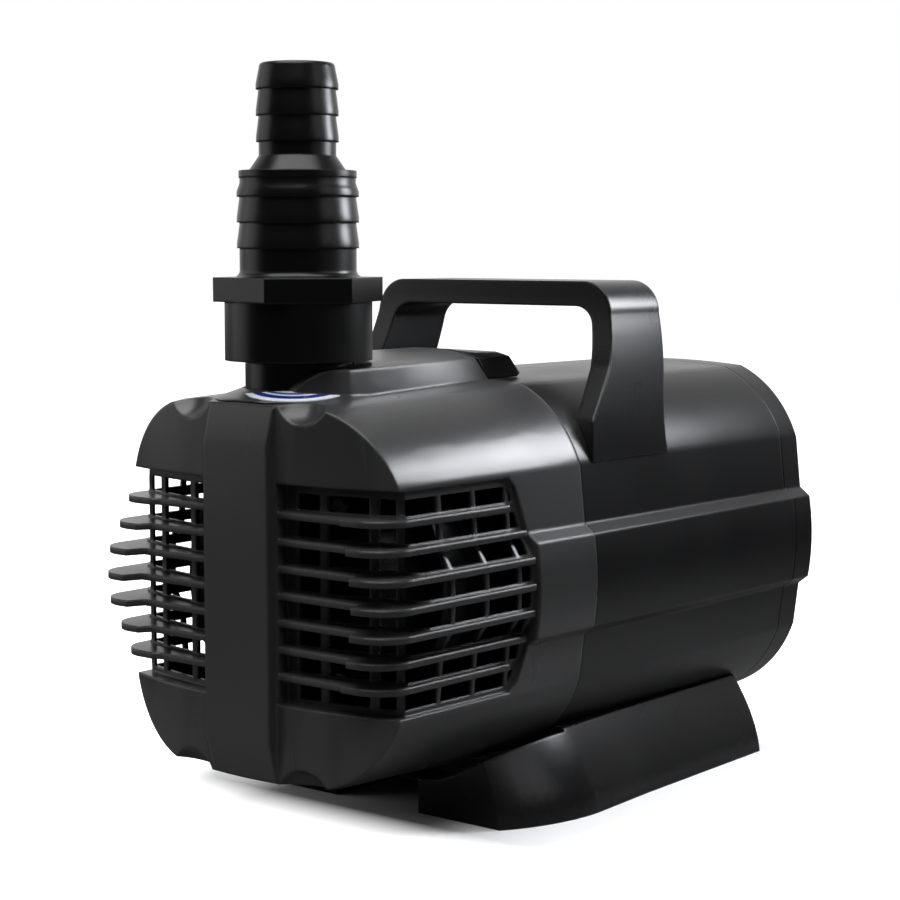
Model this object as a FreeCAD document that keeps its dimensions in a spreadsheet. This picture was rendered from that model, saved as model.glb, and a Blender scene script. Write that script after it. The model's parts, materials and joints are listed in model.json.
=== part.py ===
import FreeCAD, Part
import math
import os
import re
import Sketcher

# Fountain submersible pump.
# Frame: millimetres, +Z up, the sled stands on z = 0.  The nose with the
# strainer grille points to -X, the rear cap to +X, and the outlet rises
# from the nose along +Z.  The motor, rotor and impeller share one level
# axis along X.  The origin is in the middle of the footprint.

os.makedirs("parts", exist_ok=True)
doc = FreeCAD.newDocument("fountain_pump")

# ---------------------------------------------------------------- dimensions
DIMENSIONS = {
    # stations along the pump
    "nose_x": -128.0, "corner_x": -112.75, "parting_x": -19.75,
    "seam_x": 112.75, "rear_x": 126.75, "axis_z": 84.0,
    # casing sections: front (at the corner) and rear (at the parting)
    "front_crown_z": 147.0, "front_shoulder_y": 35.3, "front_shoulder_z": 145.2,
    "front_flank_y": 60.0, "front_step_y": 61.8, "front_belly_y": 66.0,
    "front_bend": 40.0,
    "rear_crown_z": 150.2, "rear_shoulder_y": 35.5, "rear_shoulder_z": 148.6,
    "rear_flank_y": 61.5, "rear_step_y": 63.6, "rear_belly_y": 67.8,
    "rear_bend": 46.0,
    "nose_crown_z": 144.8, "nose_shoulder_y": 34.8, "nose_shoulder_z": 143.2,
    "nose_flank_y": 59.5, "nose_step_y": 61.0, "nose_belly_y": 65.0,
    "nose_bend": 39.0,
    "flank_z": 121.0, "step_z": 101.5, "belly_z": 98.3, "belly_mid_z": 82.3,
    "belly_bend": 92.0, "wall": 3.0,
    # front of the nose, seen from above
    "face_edge_x": -121.0, "face_edge_y": 14.8, "face_bend": 166.0,
    "corner_y": 61.0, "corner_back_x": -103.0, "corner_back_y": 70.0,
    "corner_bend": 14.0, "core_y": 73.0,
    "band_x": -124.85, "band_half": 14.5, "band_tip_x": -121.4,
    "band_low_z": 36.0, "band_high_z": 132.0, "band_top_z": 145.0,
    "band_root_x": -111.0,
    "scoop_x": -124.0, "scoop_y": 25.75, "scoop_z": 151.0, "scoop_ball": 12.0,
    "scoop_wall": 2.4,
    # grille
    "grille_top_z": 120.5, "grille_low_z": 48.5, "grille_shade_z": 117.0,
    "grille_back_top_x": -58.75, "grille_back_shade_x": -55.75,
    "grille_back_x": -51.25, "grille_back_low_x": -58.25,
    "grille_wide_z": 102.0, "grille_wide_low_z": 62.0, "grille_low_shade_z": 52.0,
    "grille_back_lowshade_x": -54.75, "grille_margin": 1.2,
    "screen_side": 2.0, "screen_front": 5.0, "screen_thick": 1.4,
    "screen_step_z": 100.5, "screen_belly_z": 94.4,
    "fin_pitch": 8.8, "fin_thick": 2.2, "fin_face_x": -120.25,
    "fin_bend": 12.0, "fin_end_gap": 1.0, "fin_slope": 2.5, "fin_ease": 0.8,
    "fin_bite": 0.4, "fin_count": 7, "window_tall": 5.2,
    "tip_one_x": -121.75, "tip_two_x": -124.25, "tip_three_x": -126.25, "tip_four_x": -126.75,
    "step_one_y": 42.2, "step_two_y": 46.5, "step_three_y": 49.6, "step_four_y": 50.8,
    "side_one_y": 61.5, "side_two_y": 63.5, "side_three_y": 66.5, "side_four_y": 67.0,
    "corner_post_x": -108.3, "post_one_x": -92.3, "post_two_x": -75.3,
    "post_three_x": -58.4, "side_post": 1.8,
    "face_margin_y": 19.6, "post_one_y": 29.8, "post_two_y": 48.0,
    "corner_post_y": 55.6, "face_post": 3.0,
    # hump and collar round the outlet
    "outlet_x": -94.25, "hump_round": 24.5, "hump_low_z": 146.0,
    "hump_high_z": 161.0, "hump_low_y": 23.8, "hump_high_y": 19.5,
    "hump_back_x": -21.25, "hump_back_z": 148.0, "hump_lip_x": -26.85,
    "hump_lip_z": 160.2, "hump_hole": 18.6, "hump_crown": 65.0, "hump_crown_z": 160.4,
    "hump_waist_x": -49.25, "hump_waist_z": 159.6, "hump_neck_x": -69.25,
    "hump_neck_z": 158.2, "hump_brow_x": -99.7, "hump_brow_z": 156.4,
    "hump_toe_x": -110.2, "hump_toe_z": 149.0, "hump_toe_bend": 10.8,
    "hump_tip_x": -112.5, "hump_tip_y": 8.0, "hump_tip_bend": 22.3, "hump_far_x": -88.0,
    "collar_round": 28.0, "collar_low_z": 146.2, "collar_high_z": 149.6,
    "label_outer": 27.2, "label_inner": 19.6, "label_tip": 22.5, "label_thick": 0.3,
    "label_angle": 45.0, "label_turn": 218.0,
    # latch
    "latch_top_z": 160.0, "latch_rear_x": -8.15,
    "latch_rear_z": 158.6, "latch_toe_x": -1.25, "latch_toe_z": 148.1,
    "latch_low_z": 146.0, "latch_gap": 0.15, "latch_open": 25.0,
    "latch_pin_x": -6.0, "latch_pin_z": 152.2, "latch_pin_round": 1.25,
    "latch_pin_long": 33.0, "latch_pin_play": 0.05,
    "knuckle_half": 6.0, "knuckle_gap": 0.5, "knuckle_round": 2.4,
    # motor shell and rear cap
    "spigot_gap": 0.4, "spigot_wall": 2.0, "spigot_long": 6.0,
    "seam_gap": 0.4, "seam_depth": 1.0, "cap_floor": 3.0, "cap_round": 1.6,
    "boss_y": 44.0, "boss_z": 48.0, "boss_round": 7.0, "boss_long": 12.0,
    "cap_screw_pocket": 4.2, "cap_screw_head_x": 120.75,
    # handle
    "bar_low_z": 174.8, "bar_high_z": 183.7, "bar_front_x": 8.25,
    "handle_shoulder_y": 43.0, "handle_side_y": 54.3,
    "handle_side_z": 172.0, "handle_foot_y": 62.0, "handle_foot_z": 122.0,
    "handle_bend": 12.0, "handle_bow": 330.0,
    "grip_y": 39.0, "grip_side_y": 46.7, "grip_side_z": 168.0,
    "grip_foot_y": 53.0, "grip_foot_z": 138.0, "grip_bend": 8.0,
    "leg_front_x": -10.4, "leg_front_z": 137.0, "leg_mid_x": 2.2,
    "leg_mid_z": 153.5, "leg_mid_bow": 60.0, "leg_toe_x": -12.6,
    "leg_toe_z": 124.0, "leg_toe_bow": 60.0, "leg_rear_x": 34.4,
    "leg_rear_z": 147.0, "leg_rear_bow": 60.0, "leg_heel_x": 33.3,
    "leg_heel_z": 122.0, "leg_back_x": 38.4, "leg_back_z": 178.0,
    "leg_back_bow": 122.0, "leg_root_z": 100.0, "leg_over_z": 190.0,
    "bar_curve_z": 178.0, "strap_start_x": -30.0, "strap_long": 90.0,
    "strap_wide": 140.0, "grip_root_y": 40.0, "saddle_start_x": -40.0,
    "saddle_end_x": 60.0,
    # sled
    "sled_front_x": -55.65, "sled_front_y": 55.0, "sled_wide_x": -16.75,
    "sled_wide_y": 67.3, "sled_mid_x": 17.5, "sled_mid_y": 65.4,
    "sled_rear_x": 98.15, "sled_rear_y": 63.1, "sled_bend": 70.0,
    "sled_low_z": 7.6, "sled_low_in": 1.5, "sled_half_z": 17.0,
    "sled_half_in": 5.3, "sled_top_z": 28.7, "sled_top_in": 12.4,
    "channel_half": 19.0, "channel_z": 12.0, "rail_z": 12.1,
    "rail_dip_y": 28.0, "rail_dip_z": 13.2, "rail_mid_y": 35.0,
    "rail_mid_z": 16.0, "rail_rim_y": 45.0, "rail_rim_z": 21.1,
    "rail_edge_y": 58.0, "rail_edge_z": 29.5,
    # outlet pipe and hose adapter, heights above the floor
    "pipe_round": 17.8, "pipe_bore": 14.0, "pipe_low_z": 134.3,
    "pipe_step_z": 158.4, "pipe_top_z": 176.8, "thread_round": 16.62,
    "thread_play": 0.05, "pipe_groove_z": 137.0, "pipe_groove_tall": 2.4,
    "pipe_groove_round": 16.2,
    "collar_z": 158.7, "collar_round_out": 24.45, "nut_low_z": 178.0,
    "nut_high_z": 186.0, "nut_round": 28.3,
    "gasket_z": 176.8, "gasket_thick": 2.0, "gasket_round": 16.4,
    "big_root_z": 188.6, "big_root": 19.32, "big_ridge": 20.15,
    "big_ridge_top": 19.3, "big_low_z": 195.5, "big_pitch": 8.45,
    "groove_z": 216.8, "groove_round": 19.15, "ring_z": 218.6,
    "ring_round": 19.45, "cone_z": 220.9, "cone_round": 16.1,
    "small_root_z": 225.8, "small_root": 12.75, "small_ridge": 13.6,
    "small_ridge_top": 12.8, "small_low_z": 230.3, "small_pitch": 8.55,
    "ridge_land": 1.6,
    "tip_z": 256.0, "tip_round": 12.5, "tip_bend": 1.4,
    "big_bore": 14.0, "small_bore": 10.2, "bore_step_z": 214.0,
    # volute and impeller, stations along X
    "cover_x": -104.0, "volute_x": -100.0, "volute_floor_x": -82.0,
    "volute_back_x": -78.0, "volute_round": 43.5, "volute_bore": 35.0,
    "volute_flange": 52.0, "shaft_gate": 9.0, "eye_round": 14.0,
    "eye_lip": 17.0, "eye_x": -106.5,
    "neck_round": 21.5, "neck_socket": 17.9,
    "neck_low_z": 130.0, "neck_seat_z": 134.3, "neck_top_z": 142.0,
    "throat_half": 12.5, "throat_low_z": 112.0, "neck_foot_half": 18.0,
    "ring_seat": 36.6, "ring_wide": 1.6, "ring_deep": 1.4,
    "impeller_round": 31.0, "impeller_x": -98.0, "impeller_back_x": -84.0,
    "shroud_thick": 2.0, "hub_round": 8.0, "vane_thick": 1.8,
    "vane_count": 6, "vane_lift": 2.5,
    # motor
    "shaft_round": 4.0, "shaft_play": 0.05, "shaft_front_x": -99.0,
    "shaft_rear_x": 29.0, "magnet_round": 20.0, "magnet_front_x": -64.0,
    "magnet_rear_x": 18.0, "washer_round": 6.5, "washer_thick": 2.0,
    "bush_round": 7.0, "boot_round": 10.0, "bush_front_x": -75.5,
    "bush_front_end_x": -66.5, "bush_rear_x": 20.5, "bush_rear_end_x": 29.5,
    "plate_round": 26.0, "plate_thick": 2.0, "plate_hub": 13.0,
    "can_flange": 43.0, "can_bore": 21.5, "can_outer": 22.8,
    "can_seat_x": -74.0, "can_step_x": 21.5, "can_tail": 12.5,
    "can_floor_x": 31.0, "can_end_x": 34.0,
    "can_ring_seat": 38.0, "can_ring_wide": 2.0, "can_ring_deep": 1.5,
    "stator_round": 44.0, "stator_bore": 23.0, "stator_front_x": -58.0,
    "stator_rear_x": 12.0, "slot_outer": 38.0, "slot_inner": 27.0,
    "slot_angle": 36.0, "slot_count": 6, "coil_gap": 0.4,
    "coil_overhang": 8.0,
    "housing_round": 48.0, "housing_web_x": -70.0, "housing_rear_x": 42.0,
    "housing_gate": 23.2, "end_cover_x": 48.0, "lead_hole": 5.0,
    "damper_thick": 6.0, "damper_one_x": -14.0, "damper_two_x": 30.0,
    "damper_gap": 0.1,
    # screws: shank, head and the circles they sit on
    "screw_shank": 1.5, "screw_head": 2.8, "screw_head_tall": 2.4,
    "volute_screw_circle": 40.3, "volute_screw_long": 10.0,
    "flange_screw_circle": 47.7, "flange_screw_long": 11.0,
    "end_screw_circle": 46.0, "end_screw_long": 9.0,
    "big_shank": 2.0, "big_head": 3.4, "big_head_tall": 2.8,
    "sled_screw_y": 25.0, "sled_screw_z": 21.2, "sled_screw_long": 14.0,
    "sled_screw_one_x": 6.0, "sled_screw_two_x": 80.0,
    "cap_screw_long": 22.0,
    "handle_screw_one_x": 0.0, "handle_screw_two_x": 19.0,
    "handle_screw_y": 51.8, "handle_screw_z": 131.9,
    "handle_screw_tilt": 50.0, "handle_screw_long": 8.5,
    # cable gland
    "gland_z": 116.0, "well_round": 14.0, "well_wall": 3.0,
    "well_floor_x": 114.75, "well_root_x": 111.75, "gland_stem": 8.0,
    "gland_hex": 12.0, "gland_hex_x": 119.5, "gland_nose": 9.4,
    "gland_nose_x": 125.8, "gland_bore": 3.7, "gland_seal_round": 6.4,
    "gland_seal_x": 117.0, "gland_stem_x": 102.0, "locknut_x": 107.0,
}

sheet = doc.addObject("Spreadsheet::Sheet", "Dims")
for row, (word, size) in enumerate(DIMENSIONS.items(), start=1):
    sheet.set(f"A{row}", word)
    sheet.set(f"B{row}", str(size))
    sheet.setAlias(f"B{row}", word)
doc.recompute()

WORD = re.compile(r"[a-z]+(?:_[a-z]+)*")
TURN = {
    "XY": FreeCAD.Rotation(),
    "XZ": FreeCAD.Rotation(FreeCAD.Vector(1, 0, 0), 90),
    "YZ": FreeCAD.Rotation(FreeCAD.Vector(1, 1, 1), 120),
}
NORMAL = {
    "XY": FreeCAD.Vector(0, 0, 1),
    "XZ": FreeCAD.Vector(0, 1, 0),
    "YZ": FreeCAD.Vector(1, 0, 0),
}
ACROSS = {"XY": "z", "XZ": "y", "YZ": "x"}
TO_X = FreeCAD.Rotation(FreeCAD.Vector(0, 1, 0), 90)


# ------------------------------------------------------------------- helpers
def formula(text):
    """The text of a size with every word pointed at its cell in the sheet."""
    return WORD.sub(lambda m: "Dims." + m[0] if m[0] in DIMENSIONS else m[0], str(text))


def number(text):
    """The value of a size now."""
    return float(sheet.evalExpression(formula(text)))


def bind(thing, **sizes):
    """Bind properties of an object to sizes: bind(box, Length="wall * 2")."""
    for prop, text in sizes.items():
        thing.setExpression(prop, formula(text))


def place(thing, x="0", y="0", z="0", turn=None):
    """Put an object at a spot given by three sizes, with an optional turn."""
    if turn is not None:
        thing.Placement = FreeCAD.Placement(FreeCAD.Vector(), turn)
    for axis, text in zip("xyz", (x, y, z)):
        thing.setExpression(f"Placement.Base.{axis}", formula(text))
    return thing


def arc_between(start, end, radius):
    """Arc from start to end; a positive radius bulges to the right of travel."""
    chord = end - start
    middle = (start + end) * 0.5
    left = FreeCAD.Vector(-chord.y, chord.x, 0).normalize()
    rise = math.sqrt(max(radius * radius - chord.Length ** 2 / 4, 0))
    side = 1 if radius > 0 else -1
    centre = middle + left * (side * rise)
    top = centre - left * (side * abs(radius))
    return Part.Arc(start, top, end), side


def draw(sketch, corners):
    """Closed outline.  A corner is (x, y), or (x, y, r) when an arc leads to it."""
    spots = [FreeCAD.Vector(number(c[0]), number(c[1]), 0) for c in corners]
    count = len(corners)
    heads = []
    for i, start in enumerate(spots):
        goal = corners[(i + 1) % count]
        end = spots[(i + 1) % count]
        if len(goal) == 3:
            curve, side = arc_between(start, end, number(goal[2]))
            index = sketch.addGeometry(curve, False)
            heads.append((index, 1 if side > 0 else 2))
        else:
            index = sketch.addGeometry(Part.LineSegment(start, end), False)
            heads.append((index, 1))
    for i, (index, head) in enumerate(heads):
        following, next_head = heads[(i + 1) % count]
        sketch.addConstraint(Sketcher.Constraint("Coincident", index, 3 - head, following, next_head))
        for axis, kind in enumerate(("DistanceX", "DistanceY")):
            spot = spots[i][axis]
            rule = sketch.addConstraint(Sketcher.Constraint(kind, -1, 1, index, head, spot))
            name = f"{kind[-1].lower()}{index}"
            sketch.renameConstraint(rule, name)
            sketch.setExpression(f"Constraints.{name}", formula(corners[i][axis]))
        goal = corners[(i + 1) % count]
        if len(goal) == 3:
            size = abs(number(goal[2]))
            rule = sketch.addConstraint(Sketcher.Constraint("Radius", index, size))
            sketch.renameConstraint(rule, f"r{index}")
            sketch.setExpression(f"Constraints.r{index}", formula(f"abs({goal[2]})"))


def drawn(name, plane, corners, level="0"):
    """A free sketch in plane XY, XZ or YZ at a level along the plane's normal."""
    sketch = doc.addObject("Sketcher::SketchObject", name)
    draw(sketch, corners)
    place(sketch, turn=TURN[plane], **{ACROSS[plane]: level})
    sketch.recompute()
    return sketch


def swept(name, sketch, plane, length, both=False):
    """A sketch pushed along its plane's normal."""
    solid = doc.addObject("Part::Extrusion", name)
    solid.Base = sketch
    solid.DirMode = "Custom"
    solid.Dir = NORMAL[plane]
    solid.Solid = True
    solid.Symmetric = both
    bind(solid, LengthFwd=length)
    return solid


def slab(name, plane, corners, level, length, both=False):
    """An outline drawn in a plane and pushed along its normal."""
    return swept(name, drawn(name + "_outline", plane, corners, level), plane, length, both)


def inset(name, outline, amount):
    """An outline moved inwards by an amount."""
    ring = doc.addObject("Part::Offset2D", name)
    ring.Source = outline
    ring.Join = "Intersection"
    bind(ring, Value=f"-({amount})")
    return ring


def lofted(name, *outlines):
    """A ruled solid through outlines."""
    solid = doc.addObject("Part::Loft", name)
    solid.Sections = list(outlines)
    solid.Solid = True
    solid.Ruled = True
    return solid


def fuse(name, *things):
    """Several solids as one."""
    joined = doc.addObject("Part::MultiFuse", name)
    joined.Shapes = list(things)
    return joined


def group(name, *things):
    """Several separate solids kept in one object."""
    kept = doc.addObject("Part::Compound", name)
    kept.Links = list(things)
    return kept


def cut(name, base, *tools):
    """A solid with others taken away."""
    left = doc.addObject("Part::Cut", name)
    left.Base = base
    left.Tool = tools[0] if len(tools) == 1 else fuse(name + "_tools", *tools)
    return left


def common(name, base, tool):
    """What two solids share."""
    shared = doc.addObject("Part::Common", name)
    shared.Base = base
    shared.Tool = tool
    return shared


def box(name, x, y, z, length, width, height):
    """A box from its low corner and its three sizes."""
    solid = doc.addObject("Part::Box", name)
    bind(solid, Length=length, Width=width, Height=height)
    return place(solid, x, y, z)


def rod(name, radius, length, x="0", y="0", z="0", turn=None):
    """A cylinder that starts at a spot and runs along +Z, or along a turn of it."""
    solid = doc.addObject("Part::Cylinder", name)
    bind(solid, Radius=radius, Height=length)
    return place(solid, x, y, z, turn)


def rod_x(name, radius, start, end, y="0", z="axis_z"):
    """A cylinder along X between two stations."""
    return rod(name, radius, f"{end} - ({start})", start, y, z, TO_X)


def origin_plane(body, role):
    """One of the body's own origin planes."""
    return [item for item in body.Origin.OriginFeatures if item.Role == role][0]


def turned(name, corners, x="0", z="0", turn=None):
    """A turned piece: corners are (radius, height) along its own axis."""
    body = doc.addObject("PartDesign::Body", name)
    sketch = body.newObject("Sketcher::SketchObject", name + "_profile")
    sketch.AttachmentSupport = [(origin_plane(body, "XZ_Plane"), "")]
    sketch.MapMode = "FlatFace"
    draw(sketch, corners)
    doc.recompute()
    revolution = body.newObject("PartDesign::Revolution", name + "_turn")
    revolution.Profile = sketch
    revolution.ReferenceAxis = (sketch, ["V_Axis"])
    revolution.Angle = 360
    return place(body, x, "0", z, turn)


def turned_x(name, corners):
    """A turned piece on the motor axis: corners are (radius, station along X)."""
    return turned(name, corners, z="axis_z", turn=TO_X)


def ring_x(name, inner, outer, start, end):
    """A plain ring on the motor axis between two stations."""
    return turned_x(name, [(inner, start), (outer, start), (outer, end), (inner, end)])


def screw(name, x, y, z, turn, long, shank="screw_shank", head="screw_head",
          head_tall="screw_head_tall"):
    """A screw whose head's underside is at a spot and whose shank runs along the turn."""
    stem = rod(name + "_shank", shank, long, x, y, z, turn)
    back = turn.multVec(FreeCAD.Vector(0, 0, -1))
    spots = [f"{text} + {head_tall} * ({part:.6f})" for text, part in zip((x, y, z), back)]
    knob = rod(name + "_head", head, head_tall, *spots, turn)
    return fuse(name, stem, knob)


def axial_screws(name, x, circle, long, turn=TO_X, first=45):
    """Four equal screws on a circle round the motor axis."""
    screws = []
    for angle in range(first, first + 360, 90):
        y = f"{circle} * cos({angle} deg)"
        z = f"axis_z + {circle} * sin({angle} deg)"
        screws.append(screw(f"{name}_{angle}", x, y, z, turn, long))
    return group(name, *screws)


# ------------------------------------------------------------ casing envelope
def casing_outline(name, end, level, step="step_z", belly="belly_z", middle="belly_mid_z"):
    """Cross-section of the casing: end is nose, front or rear, at a station."""
    crown = f"{end}_crown_z"
    bend = f"{end}_bend"
    arch = f"({end}_shoulder_y^2 + ({crown} - {end}_shoulder_z)^2) / (2 * ({crown} - {end}_shoulder_z))"
    right = [
        (f"{end}_shoulder_y", f"2 * axis_z - {end}_shoulder_z"),
        (f"{end}_flank_y", "2 * axis_z - flank_z", bend),
        (f"{end}_step_y", f"2 * {middle} - {step}"),
        (f"{end}_belly_y", f"2 * {middle} - {belly}"),
        (f"{end}_belly_y", belly, "belly_bend"),
        (f"{end}_step_y", step),
        (f"{end}_flank_y", "flank_z"),
        (f"{end}_shoulder_y", f"{end}_shoulder_z", bend),
    ]
    bends = [None, bend, None, None, "belly_bend", None, None, bend]
    left = []
    for i, corner in enumerate(reversed(right)):
        place_in = len(right) - 1 - i
        following = bends[place_in + 1] if place_in + 1 < len(right) else arch
        spot = (f"-({corner[0]})", corner[1])
        left.append(spot + (following,) if following else spot)
    first = right[0] + (arch,)
    return drawn(name, "YZ", [first] + right[1:] + left, level)


front_section = casing_outline("front_section", "front", "corner_x")
rear_section = casing_outline("rear_section", "rear", "parting_x")
nose_section = casing_outline("nose_section", "nose", "nose_x")
screen_sections = []
for end, station in (("nose", "nose_x"), ("front", "corner_x"), ("rear", "parting_x")):
    screen_sections.append(casing_outline(f"{end}_screen_section", end, station,
                                          "screen_step_z", "screen_belly_z", "axis_z"))
nose_plan = drawn("nose_plan", "XY", [
    ("face_edge_x", "-face_edge_y"),
    ("corner_x", "-corner_y", "face_bend"),
    ("corner_back_x", "-corner_back_y", "corner_bend"),
    ("10", "-core_y"),
    ("10", "core_y"),
    ("corner_back_x", "corner_back_y"),
    ("corner_x", "corner_y", "corner_bend"),
    ("face_edge_x", "face_edge_y", "face_bend"),
])


def hull(name, side="0", face="0", sections=(nose_section, front_section, rear_section)):
    """The cage's envelope, moved inwards by one amount at its sides and one at its face."""
    outlines = sections
    plan = nose_plan
    if side != "0":
        outlines = [inset(f"{name}_{item.Name}", item, side) for item in sections]
        plan = inset(f"{name}_plan", nose_plan, face)
    return common(name, lofted(name + "_loft", *outlines), swept(name + "_front", plan, "XY", "200"))


def screen_hull(name, deeper="0"):
    """The surface of the grille's screen, moved inwards by an amount."""
    return hull(name, f"screen_side + {deeper}", f"screen_front + {deeper}", screen_sections)


def tube(name, amount, start, end):
    """The straight casing's envelope between two stations, moved inwards."""
    outline = rear_section if amount == "0" else inset(name + "_outline", rear_section, amount)
    solid = swept(name, outline, "YZ", f"{end} - ({start})")
    return place(solid, x=f"{start} - parting_x")


# -------------------------------------------------------------- strainer cage
def grille_zone(name, grow, half):
    """The room of the grille: its side outline, clear of the middle band."""
    outline = drawn(name + "_side", "XZ", [
        ("-140", "grille_low_z"),
        ("grille_back_low_x", "grille_low_z"),
        ("grille_back_lowshade_x", "grille_low_shade_z"),
        ("grille_back_x", "grille_wide_low_z"),
        ("grille_back_x", "grille_wide_z"),
        ("grille_back_shade_x", "grille_shade_z"),
        ("grille_back_top_x", "grille_top_z"),
        ("-140", "grille_top_z"),
    ])
    if grow != "0":
        outline = inset(name + "_grown", outline, f"-({grow})")
    room = swept(name + "_room", outline, "XZ", "180", both=True)
    keep = box(name + "_keep", "-150", f"-({half})", "0", "50", f"2 * ({half})", "200")
    return cut(name, room, keep)


def fin(index, lobe, step, side, back):
    """One level bar of the grille: it runs round the nose between the two sides."""
    level = f"axis_z + fin_pitch * {4 - index} - fin_thick / 2"
    half = [
        ("fin_face_x", f"-({step} - fin_slope / 2)"),
        (lobe, f"-({step} + fin_slope / 2)"),
        (lobe, f"-({side} - fin_bend)"),
        (f"{lobe} + fin_bend", f"-({side})", "fin_bend"),
        (back, f"-({side} + fin_ease)"),
    ]
    other = [(x, f"-({y})") for x, y in [corner[:2] for corner in reversed(half)]]
    other[2] = other[2] + ("fin_bend",)
    return slab(f"fin_{index}", "XY", half + other, level, "fin_thick")


def fins():
    """All bars: the outer pairs are narrower and end sooner than the middle ones."""
    backs = {"one": "grille_back_top_x", "two": "grille_back_x - fin_end_gap",
             "three": "grille_back_x", "four": "grille_back_x"}
    words = ["one", "two", "three", "four", "three", "two", "one"]
    bars = []
    for index, word in enumerate(words, start=1):
        bars.append(fin(index, f"tip_{word}_x", f"step_{word}_y", f"side_{word}_y",
                        f"{backs[word]} - fin_end_gap"))
    return fuse("all_fins", *bars)


def windows():
    """Rows of openings through the screen between the bars."""
    columns = [("corner_post_x", "post_one_x - side_post / 2"),
               ("post_one_x + side_post / 2", "post_two_x - side_post / 2"),
               ("post_two_x + side_post / 2", "post_three_x - side_post / 2"),
               ("post_three_x + side_post / 2", "grille_back_x")]
    faces = [("face_margin_y", "post_one_y - face_post / 2"),
             ("post_one_y + face_post / 2", "post_two_y - face_post / 2"),
             ("post_two_y + face_post / 2", "corner_post_y")]
    boxes = []
    for row in range(int(number("fin_count")) + 1):
        low = f"axis_z + fin_pitch * {3.5 - row} - window_tall / 2"
        for column, (start, end) in enumerate(columns):
            boxes.append(box(f"side_window_{row}_{column}", start, "-80", low, f"{end} - ({start})",
                             "160", "window_tall"))
        for column, (start, end) in enumerate(faces):
            for side, edge in (("near", f"-({end})"), ("far", start)):
                boxes.append(box(f"face_window_{row}_{column}_{side}", "nose_x", edge, low,
                                 "corner_post_x - nose_x", f"{end} - ({start})", "window_tall"))
    return common("windows", fuse("all_windows", *boxes),
                  grille_zone("window_zone", "-grille_margin", "face_edge_y"))


def band():
    """The plain band down the middle of the nose, leaning back at both ends."""
    return slab("band", "XZ", [
        ("band_root_x", "2 * axis_z - band_top_z - 1"),
        ("band_tip_x", "2 * axis_z - band_top_z"),
        ("band_x", "band_low_z"),
        ("band_x", "band_high_z"),
        ("band_tip_x", "band_top_z"),
        ("band_root_x", "band_top_z + 1"),
    ], "0", "2 * band_half", both=True)


def tapered(name, low_corners, high_corners):
    """A block whose sides lean in from the hump's low level to its high level."""
    return lofted(name, drawn(name + "_low", "XY", low_corners, "hump_low_z"),
                  drawn(name + "_high", "XY", high_corners, "hump_high_z"))


def hump_plan(half, nose, back):
    """Outline of the hump: its front runs aslant from the far side to the near side."""
    return [
        ("hump_tip_x", "-hump_tip_y"),
        ("outlet_x", f"-({nose})", "hump_tip_bend"),
        (back, f"-{half}"),
        (back, half),
        ("hump_far_x", nose),
    ]


def hump():
    """The raised block behind the outlet, with a crowned top and a round front."""
    block = tapered("hump_block", hump_plan("hump_low_y", "hump_round", "hump_back_x + 1.25"),
                    hump_plan("hump_high_y", "hump_round - 1.5", "hump_lip_x - 2"))
    side = slab("hump_side", "XZ", [
        ("-120", "140"), ("0", "140"), ("0", "hump_lip_z"), ("hump_lip_x", "hump_lip_z"),
        ("hump_waist_x", "hump_waist_z"), ("hump_neck_x", "hump_neck_z"),
        ("hump_brow_x", "hump_brow_z"), ("hump_toe_x", "hump_toe_z", "hump_toe_bend"),
        ("-120", "hump_low_z"),
    ], "0", "80", both=True)
    return common("hump", common("hump_shaped", block, side), crown("hump_crown_rod"))


def crown(name):
    """The round that the tops of the hump and the latch share."""
    return rod_x(name, "hump_crown", "-120", "0", "0", "hump_crown_z - hump_crown")


def collar_cone(name, lift="0"):
    """The slope round the outlet pipe."""
    cone = doc.addObject("Part::Cone", name)
    bind(cone, Radius1="collar_round", Radius2="hump_hole", Height="collar_high_z - collar_low_z")
    return place(cone, "outlet_x", "0", f"collar_low_z + {lift}")


def scoop_balls(name, radius):
    """Four balls where the shell is scooped out beside the ends of the band."""
    balls = []
    for side, y in (("near", "-scoop_y"), ("far", "scoop_y")):
        for level, z in (("top", "scoop_z"), ("low", "2 * axis_z - scoop_z")):
            ball = doc.addObject("Part::Sphere", f"{name}_{side}_{level}")
            bind(ball, Radius=radius)
            balls.append(place(ball, "scoop_x", y, z))
    return balls


def make_cage():
    """Front housing: nose, grille, hump and the thin wall all round."""
    outer = hull("hull")
    skin = cut("skin", outer, *scoop_balls("scoop", "scoop_ball"))
    collar = common("collar", collar_cone("collar_slope"), doc.getObject("hull_front"))
    body = fuse("cage_body", skin, band(), hump(), collar)
    walled = cut("cavity_wall", hull("hull_wall", "wall", "wall"),
                 grille_zone("grown_zone", "2.5", "face_edge_y - 2.5"))
    room = fuse("cavity_all", walled, screen_hull("screen_back", "screen_thick"))
    cavity = cut("cavity", room, *scoop_balls("scoop_core", "scoop_ball + scoop_wall"))
    recess = cut("recess", grille_zone("zone", "0", "face_edge_y"), screen_hull("screen_face"))
    hole = rod("outlet_hole", "hump_hole", "60", "outlet_x", "0", "120")
    hollow = cut("cage_hollow", body, cavity, recess, windows(), hole)
    bars = cut("bars", fins(), screen_hull("fin_core", "fin_bite"))
    return fuse("strainer_cage", hollow, bars)


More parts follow.
